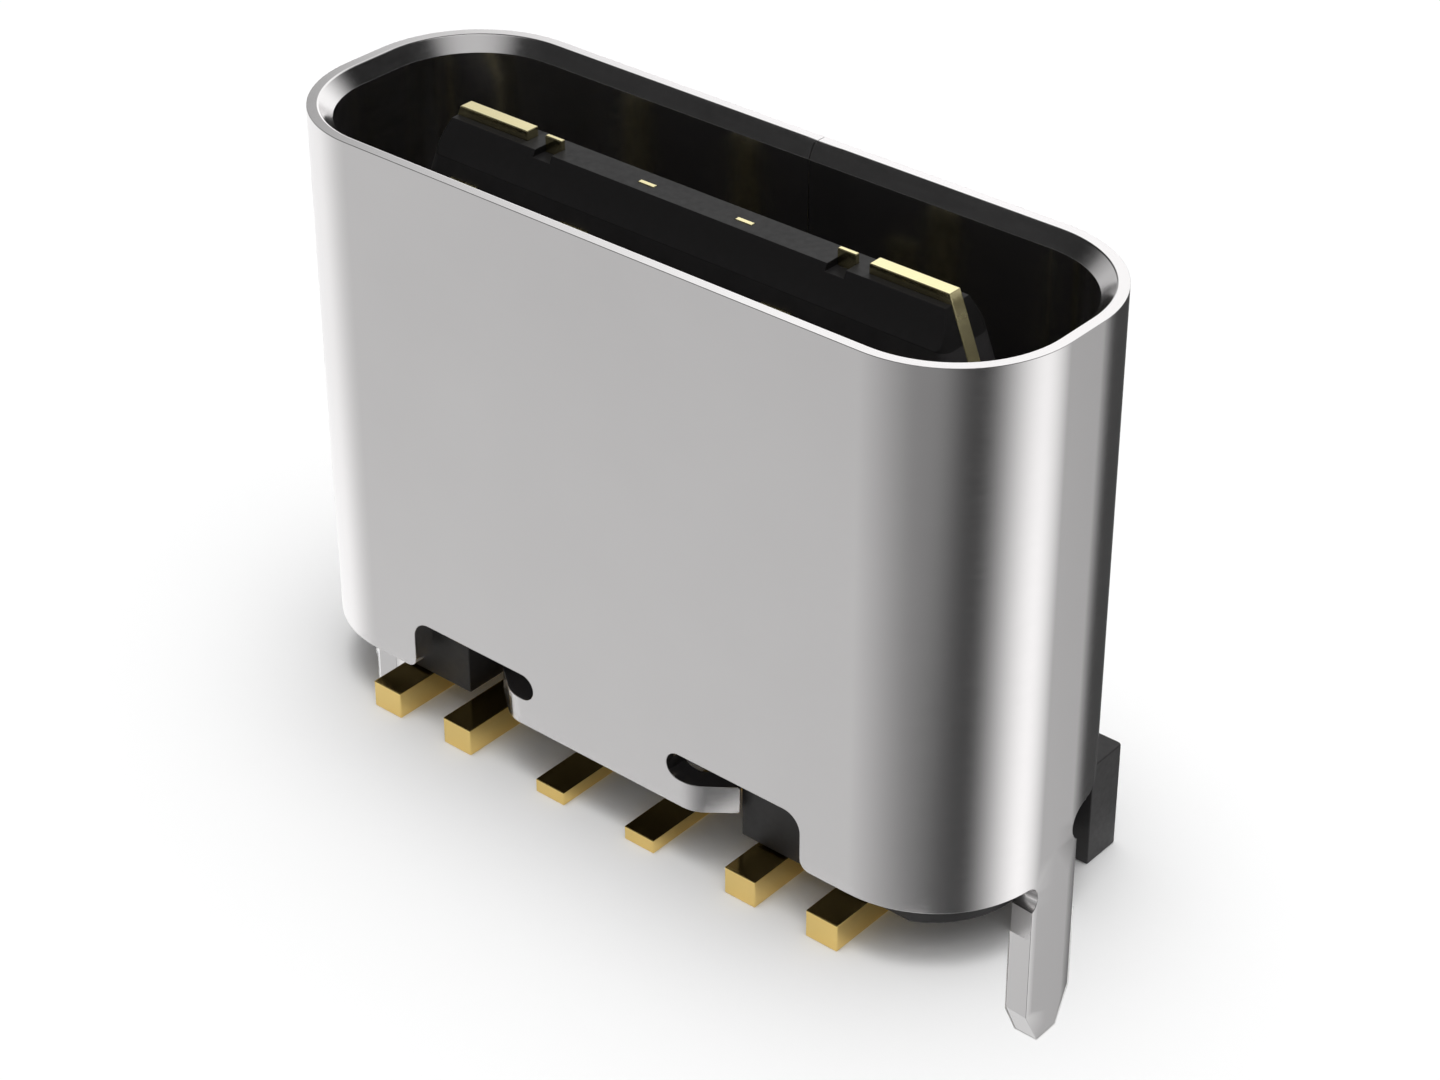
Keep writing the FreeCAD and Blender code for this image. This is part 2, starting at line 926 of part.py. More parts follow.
os.makedirs("parts", exist_ok=True)
for label, obj in pieces:
    shape = obj.Shape
    if shape.isNull() or not shape.isValid():
        raise RuntimeError(label + " has no valid shape")
    if len(shape.Solids) != 1:
        raise RuntimeError("%s has %d solids" % (label, len(shape.Solids)))
    if shape.Volume <= 0:
        raise RuntimeError(label + " has no volume")
for label, obj in pieces:
    obj.Shape.exportStep("parts/%s.step" % label)
    b = obj.Shape.BoundBox
    print(
        "%-24s %8.4f mm3  x %.3f..%.3f  y %.3f..%.3f  z %.3f..%.3f"
        % (label, obj.Shape.Volume, b.XMin, b.XMax, b.YMin, b.YMax, b.ZMin, b.ZMax)
    )
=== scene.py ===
import math

import bmesh
import bpy
from mathutils import Matrix, Vector
from mathutils.geometry import delaunay_2d_cdt


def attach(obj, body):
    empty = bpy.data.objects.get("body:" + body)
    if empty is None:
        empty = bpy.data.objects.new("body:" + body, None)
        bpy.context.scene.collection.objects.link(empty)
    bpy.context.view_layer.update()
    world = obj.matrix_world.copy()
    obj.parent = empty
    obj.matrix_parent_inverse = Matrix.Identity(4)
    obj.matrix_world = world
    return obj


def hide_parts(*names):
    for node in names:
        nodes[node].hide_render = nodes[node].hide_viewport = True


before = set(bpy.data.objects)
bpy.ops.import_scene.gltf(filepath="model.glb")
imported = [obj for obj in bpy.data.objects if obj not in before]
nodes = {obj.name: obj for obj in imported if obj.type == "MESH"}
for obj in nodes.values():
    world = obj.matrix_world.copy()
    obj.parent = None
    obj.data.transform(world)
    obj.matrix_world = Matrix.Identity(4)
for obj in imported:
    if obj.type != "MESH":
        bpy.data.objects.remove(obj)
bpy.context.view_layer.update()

MM = 0.001
scene = bpy.context.scene
scene.view_settings.view_transform = "Standard"


# ------------------------------------------------------------------ camera
def make_camera():
    """The photograph's view: from the front right, 31 degrees above the board."""
    data = bpy.data.cameras.new("camera")
    cam = bpy.data.objects.new("camera", data)
    scene.collection.objects.link(cam)
    forward = Vector((-0.555285, 0.656455, -0.510614)).normalized()
    right = Vector((0.763489, 0.645824, 0.0)).normalized()
    up = right.cross(forward).normalized()
    turn = Matrix((right, up, -forward)).transposed()
    cam.matrix_world = Matrix.Translation(Vector((17.9401, -20.7072, 20.1752)) * MM) @ turn.to_4x4()
    data.sensor_width = 36.0
    data.sensor_fit = "HORIZONTAL"
    data.lens = 3283.32 / 1440 * 36.0
    data.shift_x = (720 - 731.94) / 1440
    data.shift_y = (422.03 - 540) / 1440
    data.clip_start = 0.001
    data.clip_end = 5.0
    data.dof.use_dof = False
    scene.camera = cam
    return cam


camera = make_camera()


# ------------------------------------------------------------------ material helpers
class Net:
    """Short names for building one material's nodes."""

    def __init__(self, name, tree=None):
        if tree is not None:
            self.tree = tree
            self.tree.nodes.clear()
            return
        self.mat = bpy.data.materials.new(name)
        self.mat.use_nodes = True
        self.tree = self.mat.node_tree
        self.tree.nodes.clear()
        self.out = self.tree.nodes.new("ShaderNodeOutputMaterial")
        self.bsdf = self.tree.nodes.new("ShaderNodeBsdfPrincipled")
        self.tree.links.new(self.bsdf.outputs[0], self.out.inputs[0])
        self.coord = self.tree.nodes.new("ShaderNodeTexCoord").outputs["Object"]

    def link(self, a, b):
        self.tree.links.new(a, b)

    def node(self, kind, inputs=None, **props):
        n = self.tree.nodes.new(kind)
        for k, v in props.items():
            setattr(n, k, v)
        for k, v in (inputs or {}).items():
            if hasattr(v, "links"):
                self.link(v, n.inputs[k])
            else:
                n.inputs[k].default_value = v
        return n

    def scaled(self, x, y, z):
        return self.node(
            "ShaderNodeMapping", {"Vector": self.coord, "Scale": (x, y, z)}
        ).outputs[0]

    def noise(self, scale, detail=4.0, rough=0.55, vector=None, distortion=0.0):
        return self.node(
            "ShaderNodeTexNoise",
            {
                "Vector": vector or self.coord,
                "Scale": scale,
                "Detail": detail,
                "Roughness": rough,
                "Distortion": distortion,
            },
        ).outputs[0]

    def spread(self, value, a, b, lo, hi):
        return self.node(
            "ShaderNodeMapRange",
            {"Value": value, "From Min": a, "From Max": b, "To Min": lo, "To Max": hi},
        ).outputs[0]

    def ramp(self, value, stops, interpolation="LINEAR"):
        n = self.node("ShaderNodeValToRGB", {"Fac": value})
        n.color_ramp.interpolation = interpolation
        while len(n.color_ramp.elements) < len(stops):
            n.color_ramp.elements.new(0.5)
        for e, (p, c) in zip(n.color_ramp.elements, stops):
            e.position, e.color = p, (*c, 1.0)
        return n.outputs[0]

    def mix(self, fac, a, b, blend="MIX"):
        n = self.node("ShaderNodeMix", data_type="RGBA", blend_type=blend)
        for key, v in (("Factor", fac), ("A", a), ("B", b)):
            sock = [s for s in n.inputs if s.name == key and (s.type == "RGBA" or key == "Factor" and s.type == "VALUE")][0]
            if hasattr(v, "links"):
                self.link(v, sock)
            else:
                sock.default_value = v if key == "Factor" else (*v, 1.0)
        return [s for s in n.outputs if s.type == "RGBA"][0]

    def math(self, op, a, b=0.0, c=0.0):
        n = self.node("ShaderNodeMath", operation=op)
        for i, v in enumerate((a, b, c)):
            if hasattr(v, "links"):
                self.link(v, n.inputs[i])
            else:
                n.inputs[i].default_value = v
        return n.outputs[0]

    def smooth(self, value, a, b):
        """0 at a, 1 at b, with soft ends; a may lie above b."""
        low, high = min(a, b), max(a, b)
        n = self.node(
            "ShaderNodeMapRange",
            {"Value": value, "From Min": low, "From Max": high, "To Min": float(a > b), "To Max": float(a < b)},
            interpolation_type="SMOOTHSTEP",
        )
        return n.outputs[0]

    def bump(self, height, distance, strength=1.0, normal=None):
        n = self.node("ShaderNodeBump", {"Height": height, "Distance": distance, "Strength": strength})
        if normal is not None:
            self.link(normal, n.inputs["Normal"])
        return n.outputs[0]

    def set(self, **values):
        for k, v in values.items():
            sock = self.bsdf.inputs[k.replace("_", " ")]
            if hasattr(v, "links"):
                self.link(v, sock)
            else:
                sock.default_value = v


def steel():
    m = Net("satin_nickel_steel")
    cloud = m.noise(450, 5)
    grain = m.noise(1.0, 6, 0.6, m.scaled(2500, 2500, 26000))
    fine = m.noise(16000, 3)
    color = m.mix(m.spread(cloud, 0.3, 0.7, 0, 1), (0.765, 0.75, 0.75), (0.79, 0.775, 0.775))
    m.set(
        Base_Color=color,
        Metallic=1.0,
        Roughness=m.math("ADD", m.spread(grain, 0.3, 0.7, 0.15, 0.19), m.spread(fine, 0.3, 0.7, -0.01, 0.015)),
        Normal=m.bump(grain, 6e-8, 0.5, m.bump(fine, 5e-8, 0.5)),
    )
    return m.mat


def gold():
    m = Net("gold_plating")
    cloud = m.noise(1300, 5)
    blend = m.spread(cloud, 0.3, 0.7, 0, 1)
    feet = m.mix(blend, (0.84, 0.615, 0.215), (0.88, 0.65, 0.245))
    tips = m.mix(blend, (0.86, 0.77, 0.43), (0.90, 0.81, 0.47))
    across, _, height = m.node("ShaderNodeSeparateXYZ", {"Vector": m.coord}).outputs
    # the outer edges of the plates are sheared, and so more satin than the rolled faces
    satin = m.math(
        "MULTIPLY",
        m.spread(m.math("ABSOLUTE", across), 2.85 * MM, 3.0 * MM, 0.0, 0.20),
        m.math(
            "MULTIPLY", m.spread(height, 2.0 * MM, 5.0 * MM, 0.0, 1.0), m.spread(height, 6.18 * MM, 6.30 * MM, 1.0, 0.25)
        ),
    )
    color = m.mix(m.smooth(height, 2.0 * MM, 5.0 * MM), feet, tips)
    grain = m.noise(1.0, 4, 0.5, m.scaled(9000, 1800, 1800))
    m.set(
        Base_Color=color,
        Metallic=m.math("SUBTRACT", 1.0, satin),
        Roughness=m.math(
            "ADD",
            m.spread(grain, 0.3, 0.7, 0.10, 0.16),
            m.math(
                "MULTIPLY",
                m.spread(height, 2.0 * MM, 5.0 * MM, 0.0, 0.14),
                m.spread(height, 6.18 * MM, 6.30 * MM, 1.0, 0.3),
            ),
        ),
        Normal=m.bump(grain, 2e-8, 0.5),
    )
    return m.mat


def plastic(name, low, high, rough, gloss, tip_painted_shade=None):
    """Moulded black plastic. The optional last colour pair is painted shade: a darker colour for the flat end between
    the end plates, which faces up, and the slopes below it are painted darker still, also as painted shade."""
    m = Net(name)
    cloud = m.noise(2600, 5)
    fine = m.noise(14000, 3)
    color = m.mix(m.spread(cloud, 0.3, 0.7, 0, 1), low, high)
    if tip_painted_shade:
        # painted shade: the flat end between the end plates faces up and gets the darker tip colour pair
        xyz = m.node("ShaderNodeSeparateXYZ", {"Vector": m.coord}).outputs
        inside = m.math("LESS_THAN", m.math("ABSOLUTE", xyz[1]), 0.175 * MM)
        inside = m.math("MULTIPLY", inside, m.math("LESS_THAN", m.math("ABSOLUTE", xyz[0]), 2.1 * MM))
        inside = m.math("MULTIPLY", inside, m.math("GREATER_THAN", xyz[2], 6.2985 * MM))
        # painted shade: all of the tongue above 5.945 mm, its up-turned slopes, is given a near-black colour so that
        # it reads dimmer than its lighting makes it
        slope_painted_shade = m.math("GREATER_THAN", xyz[2], 5.945 * MM)
        color = m.mix(slope_painted_shade, color, (0.010, 0.0094, 0.0096))
        color = m.mix(inside, color, m.mix(m.spread(cloud, 0.3, 0.7, 0, 1), *tip_painted_shade))
    m.set(
        Base_Color=color,
        Roughness=m.spread(fine, 0.3, 0.7, rough - 0.05, rough + 0.05),
        Normal=m.bump(fine, 4e-7, 0.5),
    )
    m.bsdf.inputs["Specular IOR Level"].default_value = gloss
    return m.mat


steel_mat = steel()
gold_mat = gold()
housing_mat = plastic("black_moulding", (0.020, 0.019, 0.0195), (0.027, 0.0255, 0.026), 0.5, 0.35)
# the tongue's last colour pair is painted shade on its flat end, and plastic() paints its slopes darker as painted
# shade
insert_mat = plastic(
    "black_tongue", (0.026, 0.0248, 0.0254), (0.034, 0.0324, 0.0332), 0.5, 0.2, ((0.018, 0.0175, 0.0175), (0.022, 0.0214, 0.0213))
)


def dress(obj, mat):
    obj.data.materials.clear()
    obj.data.materials.append(mat)


for name, obj in nodes.items():
    if name == "shell":
        dress(obj, steel_mat)
    elif name == "housing":
        dress(obj, housing_mat)
    elif name == "contact_insert":
        dress(obj, insert_mat)
    else:
        dress(obj, gold_mat)


# ------------------------------------------------------------------ shell
SHEET = 0.25
OUT_X, OUT_Y, OUT_R = 4.42, 1.53, 1.29
RIM = 6.50
SEAM = 0.30
SEAM_HALF = 0.004


def shell_path():
    """The outer outline as runs of (length, kind, data), from the seam's right edge to its left edge."""
    cx, cy, q = OUT_X - OUT_R, OUT_Y - OUT_R, OUT_R * math.pi / 2
    return [
        (cx - SEAM - SEAM_HALF, "line", ((SEAM + SEAM_HALF, OUT_Y), (1, 0), (0, 1))),
        (q, "arc", ((cx, cy), math.pi / 2)),
        (2 * cy, "line", ((OUT_X, cy), (0, -1), (1, 0))),
        (q, "arc", ((cx, -cy), 0.0)),
        (2 * cx, "line", ((cx, -OUT_Y), (-1, 0), (0, -1))),
        (q, "arc", ((-cx, -cy), -math.pi / 2)),
        (2 * cy, "line", ((-OUT_X, -cy), (0, 1), (-1, 0))),
        (q, "arc", ((-cx, cy), math.pi)),
        (cx + SEAM - SEAM_HALF, "line", ((-cx, OUT_Y), (1, 0), (0, 1))),
    ]


SHELL_RUNS = shell_path()
RUN_START = [sum(r[0] for r in SHELL_RUNS[:i]) for i in range(len(SHELL_RUNS) + 1)]
TAB_BEND, TAB_RADIUS, TAB_ANGLE, TAB_RUN = 1.08, 0.38, math.radians(38.0), 0.335
FRONT_MID = (RUN_START[4] + RUN_START[5]) / 2


def on_outline(s):
    """Point, direction of travel and outward normal of the outer outline at length s."""
    i = max(k for k in range(9) if RUN_START[k] <= s + 1e-9 or k == 0)
    length, kind, data = SHELL_RUNS[i]
    d = s - RUN_START[i]
    if kind == "line":
        (x, y), (tx, ty), (nx, ny) = data
        return (x + tx * d, y + ty * d), (tx, ty), (nx, ny)
    (x, y), start = data
    a = start - d / OUT_R
    nx, ny = math.cos(a), math.sin(a)
    return (x + nx * OUT_R, y + ny * OUT_R), (math.sin(a), -math.cos(a)), (nx, ny)


def on_tab(s):
    """The same on a locking tab, which leaves the front wall and turns inwards."""
    x = -(s - FRONT_MID)
    side = 1.0 if x > 0 else -1.0
    u = abs(x) - TAB_BEND
    a = min(u / TAB_RADIUS, TAB_ANGLE)
    rest = u - TAB_RADIUS * TAB_ANGLE
    px = TAB_BEND + TAB_RADIUS * math.sin(a)
    py = -OUT_Y + TAB_RADIUS - TAB_RADIUS * math.cos(a)
    if rest > 0:
        px += rest * math.cos(a)
        py += rest * math.sin(a)
    return (side * px, py), (-math.cos(a), -side * math.sin(a)), (side * math.sin(a), -math.cos(a))


def shell_at(s, z, depth):
    x = abs(s - FRONT_MID)
    tab = TAB_BEND < x < 1.72 and 0.6 < z < 0.985
    (px, py), t, n = (on_tab if tab else on_outline)(s)
    return Vector((px - n[0] * depth, py - n[1] * depth, z)), Vector((t[0], t[1], 0)), Vector((n[0], n[1], 0))


def arc_points(cx, cz, r, a0, a1, steps):
    """Points of an arc in degrees, ends included."""
    return [
        (cx + r * math.cos(math.radians(a0 + (a1 - a0) * k / steps)), cz + r * math.sin(math.radians(a0 + (a1 - a0) * k / steps)))
        for k in range(steps + 1)
    ]


def stake_outline():
    """One end's stake and its two root reliefs in (y, z), from the back wall's edge to the front's."""
    pts = arc_points(0.47, 1.00, 0.20, 90, 236.6, 18)
    pts += [(0.36, 0.60), (0.36, 0.0), (0.36, -0.5), (0.36, -0.945), (0.17, -1.335), (-0.13, -1.335), (-0.33, -0.945)]
    pts += [(-0.33, -0.5), (-0.33, 0.0)]
    pts += arc_points(-0.42, 0.49, 0.17, -58.0, 90, 18)
    return pts


def end_s(y, right):
    """Length along the outline of a place on an end wall or just round its corners."""
    cy = OUT_Y - OUT_R
    if y > cy:
        extra = OUT_R * math.asin((y - cy) / OUT_R) + cy
    elif y < -cy:
        extra = -(OUT_R * math.asin((-cy - y) / OUT_R) + cy)
    else:
        extra = y
    middle = (RUN_START[2] + RUN_START[3]) / 2 if right else (RUN_START[6] + RUN_START[7]) / 2
    return middle - extra if right else middle + extra


def notch_outline():
    """Right half of the front's lower edge in (x, z), from the corner towards the middle."""
    pts = arc_points(2.67, 0.78, 0.12, -90, -180, 6)
    pts += arc_points(2.35, 1.065, 0.20, 0, 90, 8)
    pts += [(1.9, 1.265), (1.4, 1.265)]
    pts += arc_points(1.0325, 1.1175, 0.1475, 90, 270, 14)
    end = TAB_BEND + TAB_RADIUS * TAB_ANGLE
    top = [1.0801] + [TAB_BEND + TAB_RADIUS * TAB_ANGLE * k / 6 for k in range(1, 7)] + [end + 0.17, end + TAB_RUN - 0.03]
    pts += [(x, 0.97) for x in top]
    pts += arc_points(end + TAB_RUN - 0.03, 0.94, 0.03, 90, 0, 3)[1:]
    pts += arc_points(end + TAB_RUN - 0.03, 0.69, 0.03, 0, -90, 3)
    pts += [(x, 0.66) for x in reversed(top[:-1])]
    return pts


def shell_boundary():
    """Closed outline of the flat sheet in (s, z), walked with the sheet on the left, and a mark for rim points."""
    total = RUN_START[9]
    low = [(0.0, 1.20)]
    right = [(end_s(y, True), z) for y, z in stake_outline()]
    low += right
    half = notch_outline()
    low += [(FRONT_MID - x, z) for x, z in half]
    low += [(FRONT_MID + x, z) for x, z in reversed(half)]
    low += [(end_s(y, False), z) for y, z in reversed(stake_outline())]
    low += [(total, 1.20)]
    top = [(total, RIM), (0.0, RIM)]
    ring = low + top
    out = []
    for i, a in enumerate(ring):
        b = ring[(i + 1) % len(ring)]
        out.append(a)
        level = abs(a[1] - b[1]) < 1e-9
        if level and abs(b[0] - a[0]) > 0.12:
            stops = set()
            for k in range(9):
                n = 24 if SHELL_RUNS[k][1] == "arc" else max(1, round(SHELL_RUNS[k][0] / 0.3))
                for j in range(n + 1):
                    stops.add(round(RUN_START[k] + SHELL_RUNS[k][0] * j / n, 6))
            inner = [s for s in stops if min(a[0], b[0]) + 0.02 < s < max(a[0], b[0]) - 0.02]
            inner.sort(reverse=b[0] < a[0])
            out += [(s, a[1]) for s in inner]
        elif not level and abs(a[0] - b[0]) < 1e-9 and abs(b[1] - a[1]) > 0.8:
            n = int(abs(b[1] - a[1]) / 0.5)
            out += [(a[0], a[1] + (b[1] - a[1]) * k / n) for k in range(1, n)]
    return out


EDGE = 0.006
RIM_PROFILE = [
    (0.006, 0.0, 0), (0.003, 0.0008, 30), (0.0008, 0.003, 60), (0.0, 0.006, 90), (0.0, 0.100, 90),
    (0.004, 0.113, 113), (0.012, 0.121, 137), (0.1492, 0.2485, 137), (0.1502, 0.2493, 158), (0.1514, 0.25, 180),
]
CUT_PROFILE = (
    [(EDGE * (1 - math.sin(math.radians(b))), EDGE * (1 - math.cos(math.radians(b))), b) for b in (0, 30, 60, 90)]
    + [(0.0, 0.4 * SHEET, 90), (0.0, 0.6 * SHEET, 90)]
    + [(EDGE * (1 - math.sin(math.radians(b))), SHEET - EDGE * (1 + math.cos(math.radians(b))), b) for b in (90, 120, 150, 180)]
)


def make_shell():
    ring = [Vector(p) for p in shell_boundary()]
    n = len(ring)
    edge_dir = [(ring[(i + 1) % n] - ring[i]).normalized() for i in range(n)]
    inward = [Vector((-d.y, d.x)) for d in edge_dir]
    rim = [ring[i].y > RIM - 1e-6 and ring[(i + 1) % n].y > RIM - 1e-6 for i in range(n)]
    steps = len(RIM_PROFILE)

    def placed(i, k):
        """Boundary corner i moved in to profile step k: (s, z) and depth."""
        a, b = (i - 1) % n, i
        pa = (RIM_PROFILE if rim[a] else CUT_PROFILE)[k]
        pb = (RIM_PROFILE if rim[b] else CUT_PROFILE)[k]
        na, nb = inward[a], inward[b]
        det = na.x * nb.y - na.y * nb.x
        if abs(det) < 0.02:
            m = (na + nb).normalized()
            move = m * ((pa[0] + pb[0]) / 2)
        else:
            move = Vector(((pa[0] * nb.y - pb[0] * na.y) / det, (na.x * pb[0] - nb.x * pa[0]) / det))
        return ring[i] + move, (pa[1] + pb[1]) / 2

    verts = []

    def add(s, z, depth):
        p, t, nn = shell_at(s, z, depth)
        verts.append(p * MM)
        return len(verts) - 1

    rings = []
    for k in range(steps):
        row = []
        for i in range(n):
            q, depth = placed(i, k)
            # the tab's mapping is chosen by the boundary corner itself, so a corner stays on one sheet
            row.append(add(q.x, q.y, depth))
        rings.append(row)
    faces, loops = [], []

    def surface_normal(q):
        return shell_at(q.x, q.y, 0.0)[2]

    # strips round the edge
    turn = []
    for i in range(n):
        a = edge_dir[(i - 1) % n]
        b = edge_dir[i]
        turn.append(math.degrees(a.angle(b)))
    for j in range(n):
        jn = (j + 1) % n
        prof = RIM_PROFILE if rim[j] else CUT_PROFILE
        for k in range(steps - 1):
            quad = [(j, k), (jn, k), (jn, k + 1), (j, k + 1)]
            faces.append([rings[kk][ii] for ii, kk in quad])
            ln = []
            for ii, kk in quad:
                q, depth = placed(ii, kk)
                p, t, nn = shell_at(q.x, q.y, 0.0)
                if turn[ii] < 25:
                    w = -(inward[(ii - 1) % n] + inward[ii]).normalized()
                else:
                    w = -inward[j]
                out = t * w.x + Vector((0, 0, 1)) * w.y
                beta = math.radians(prof[kk][2])
                ln.append((nn * math.cos(beta) + out * math.sin(beta)).normalized())
            loops += ln

    # the two broad faces
    z_rows = [-1.2, -1.05, -0.9, -0.75, -0.6, -0.45, -0.3, -0.15, 0.0, 0.15, 0.3, 0.5, 0.9, 1.15, 1.4, 1.9, 2.6, 3.3, 4.0, 4.7, 5.4, 6.0, 6.25]
    s_rows = sorted({round(p.x, 5) for p in ring if p.y > RIM - 1e-6})
    tab_rows = [TAB_BEND + TAB_RADIUS * TAB_ANGLE * k / 6 for k in range(1, 7)] + [TAB_BEND + TAB_RADIUS * TAB_ANGLE + 0.17]

    def inside(poly, x, y, gap):
        odd, near_edge = False, False
        m = len(poly)
        for i in range(m):
            a, b = poly[i], poly[(i + 1) % m]
            if (a.y > y) != (b.y > y) and x < (b.x - a.x) * (y - a.y) / (b.y - a.y) + a.x:
                odd = not odd
            ab = b - a
            f = max(0.0, min(1.0, ((x - a.x) * ab.x + (y - a.y) * ab.y) / max(ab.length_squared, 1e-12)))
            if (a.x + ab.x * f - x) ** 2 + (a.y + ab.y * f - y) ** 2 < gap * gap:
                near_edge = True
        return odd and not near_edge

    for face_k, depth, flip in ((0, 0.0, False), (steps - 1, SHEET, True)):
        poly = [placed(i, face_k)[0] for i in range(n)]
        extra = []
        for s in s_rows:
            for z in z_rows:
                if inside(poly, s, z, 0.05):
                    extra.append(Vector((s, z)))
        for x in tab_rows:
            for sgn in (-1, 1):
                extra.append(Vector((FRONT_MID + sgn * x, 0.815)))
        coords = poly + extra
        edges = [(i, (i + 1) % n) for i in range(n)]
        vo, eo, fo, ov, oe, of_ = delaunay_2d_cdt(coords, edges, [list(range(n))], 1, 1e-7)
        index = {}
        for k, origins in enumerate(ov):
            for o in origins:
                index[k] = rings[face_k][o] if o < n else ("extra", o)
                if o < n:
                    break
        real, flat = {}, {}
        for k, q in enumerate(vo):
            got = index.get(k)
            flat[k] = q
            if isinstance(got, int):
                real[k] = got
            else:
                real[k] = add(q.x, q.y, depth)
        for f in fo:
            # keep each triangle anticlockwise in (s, z) so that all face one way
            pts = [flat[k] for k in f]
            area = sum(pts[i].x * pts[(i + 1) % 3].y - pts[(i + 1) % 3].x * pts[i].y for i in range(3))
            tri = list(f) if area > 0 else list(reversed(f))
            # s runs clockwise seen from above, so this order faces inwards
            if not flip:
                tri.reverse()
            faces.append([real[k] for k in tri])
            for k in tri:
                nn = surface_normal(flat[k])
                loops.append(-nn if flip else nn)
    me = bpy.data.meshes.new("shell_formed")
    me.from_pydata(verts, [], faces)
    me.validate()
    me.polygons.foreach_set("use_smooth", [True] * len(me.polygons))
    me.normals_split_custom_set(loops)
    me.update()
    ob = bpy.data.objects.new("shell_formed", me)
    scene.collection.objects.link(ob)
    return ob


shell = make_shell()
dress(shell, steel_mat)
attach(shell, "root")
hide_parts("shell")


# ------------------------------------------------------------------ mouldings and strips
def corner_normals(bm, kind):
    """A normal for every face corner: flats keep their own, a round takes on the normal of the flat or curve it
    meets, so that broad faces mirror straight and only the rounds turn."""
    out = []
    for f in bm.faces:
        for loop in f.loops:
            if kind[f.index] == 1:
                out.append(f.normal.copy())
                continue
            around = [g for g in loop.vert.link_faces if g.normal.angle(f.normal, 0.0) < math.radians(52)]
            flats = [g for g in around if kind[g.index] == 1]
            if flats:
                out.append(max(flats, key=lambda g: g.normal.dot(f.normal)).normal.copy())
                continue
            curved = [g for g in around if kind[g.index] == 2]
            total = Vector((0, 0, 0))
            for g in curved or around:
                total += g.normal * (g.calc_area() if not curved else 1.0)
            out.append(total.normalized() if total.length > 1e-9 else f.normal.copy())
    return out


def refined(source, name, width, mat, sharp=28.0):
    """The piece again with every hard edge broken by a small round, so that it catches the light."""
    bm = bmesh.new()
    bm.from_mesh(nodes[source].data)
    bmesh.ops.scale(bm, vec=(1000, 1000, 1000), verts=bm.verts)
    bmesh.ops.remove_doubles(bm, verts=bm.verts, dist=2e-4)
    bmesh.ops.dissolve_limit(bm, angle_limit=math.radians(0.6), verts=bm.verts, edges=bm.edges)
    tag = bm.faces.layers.int.new("kind")
    for f in bm.faces:
        soft = [e for e in f.edges if len(e.link_faces) == 2 and 0.6 < math.degrees(e.calc_face_angle()) <= sharp]
        f[tag] = 2 if soft and f.calc_area() < 0.6 * max(1e-9, sum(e.calc_length() for e in f.edges) / 4) ** 2 else 1
    edges = [e for e in bm.edges if len(e.link_faces) == 2 and e.calc_face_angle() > math.radians(sharp)]
    made = bmesh.ops.bevel(
        bm, geom=edges, offset=width, offset_type="OFFSET", segments=2, profile=0.5, affect="EDGES", clamp_overlap=False,
        miter_outer="SHARP",
    )
    for f in made["faces"]:
        f[tag] = 0
    bm.normal_update()
    bm.faces.index_update()
    normals = corner_normals(bm, [f[tag] for f in bm.faces])
    bm.faces.layers.int.remove(tag)
    bmesh.ops.scale(bm, vec=(MM, MM, MM), verts=bm.verts)
    me = bpy.data.meshes.new(name)
    bm.to_mesh(me)
    bm.free()
    ob = bpy.data.objects.new(name, me)
    scene.collection.objects.link(ob)
    me.polygons.foreach_set("use_smooth", [True] * len(me.polygons))
    me.normals_split_custom_set(normals)
    me.update()
    dress(ob, mat)
    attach(ob, "root")
    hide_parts(source)
    return ob


refined("housing", "housing_moulding", 0.015, housing_mat)
refined("contact_insert", "tongue_moulding", 0.005, insert_mat, 14.0)
for kind in ("ground", "power", "cc"):
    for side in ("left", "right"):
        refined(
            "%s_terminal_%s" % (kind, side),
            "%s_strip_%s" % (kind, side),
            0.008 if kind == "cc" else 0.010,
            gold_mat,
        )


# ------------------------------------------------------------------ floor
def mask_capsule(m, x, y, a, b, radius, end_radius, soft):
    """1 inside a long rounded patch of the floor between two points, fading to 0 over a soft border."""
    ax, ay = a
    dx, dy = b[0] - a[0], b[1] - a[1]
    length2 = dx * dx + dy * dy
    px, py = m.math("SUBTRACT", x, ax * MM), m.math("SUBTRACT", y, ay * MM)
    along = m.math("ADD", m.math("MULTIPLY", px, dx / length2 / MM), m.math("MULTIPLY", py, dy / length2 / MM))
    along = m.node("ShaderNodeClamp", {"Value": along}).outputs[0]
    qx = m.math("SUBTRACT", px, m.math("MULTIPLY", along, dx * MM))
    qy = m.math("SUBTRACT", py, m.math("MULTIPLY", along, dy * MM))
    gap = m.math("SQRT", m.math("ADD", m.math("MULTIPLY", qx, qx), m.math("MULTIPLY", qy, qy)))
    gap = m.math("SUBTRACT", gap, m.math("MULTIPLY", along, (end_radius - radius) * MM))
    return m.smooth(gap, (radius + soft) * MM, radius * MM)


def mask_outline(m, x, y, corners, soft):
    """1 inside a convex outline given anticlockwise, fading to 0 over a soft border."""
    inner = None
    for i, (ax, ay) in enumerate(corners):
        bx, by = corners[(i + 1) % len(corners)]
        size = math.hypot(bx - ax, by - ay)
        nx, ny = -(by - ay) / size, (bx - ax) / size
        side = m.math("ADD", m.math("MULTIPLY", x, nx), m.math("MULTIPLY", y, ny))
        side = m.math("SUBTRACT", side, (nx * ax + ny * ay) * MM)
        inner = side if inner is None else m.math("MINIMUM", inner, side)
    return m.smooth(inner, -soft * MM, 0.0)


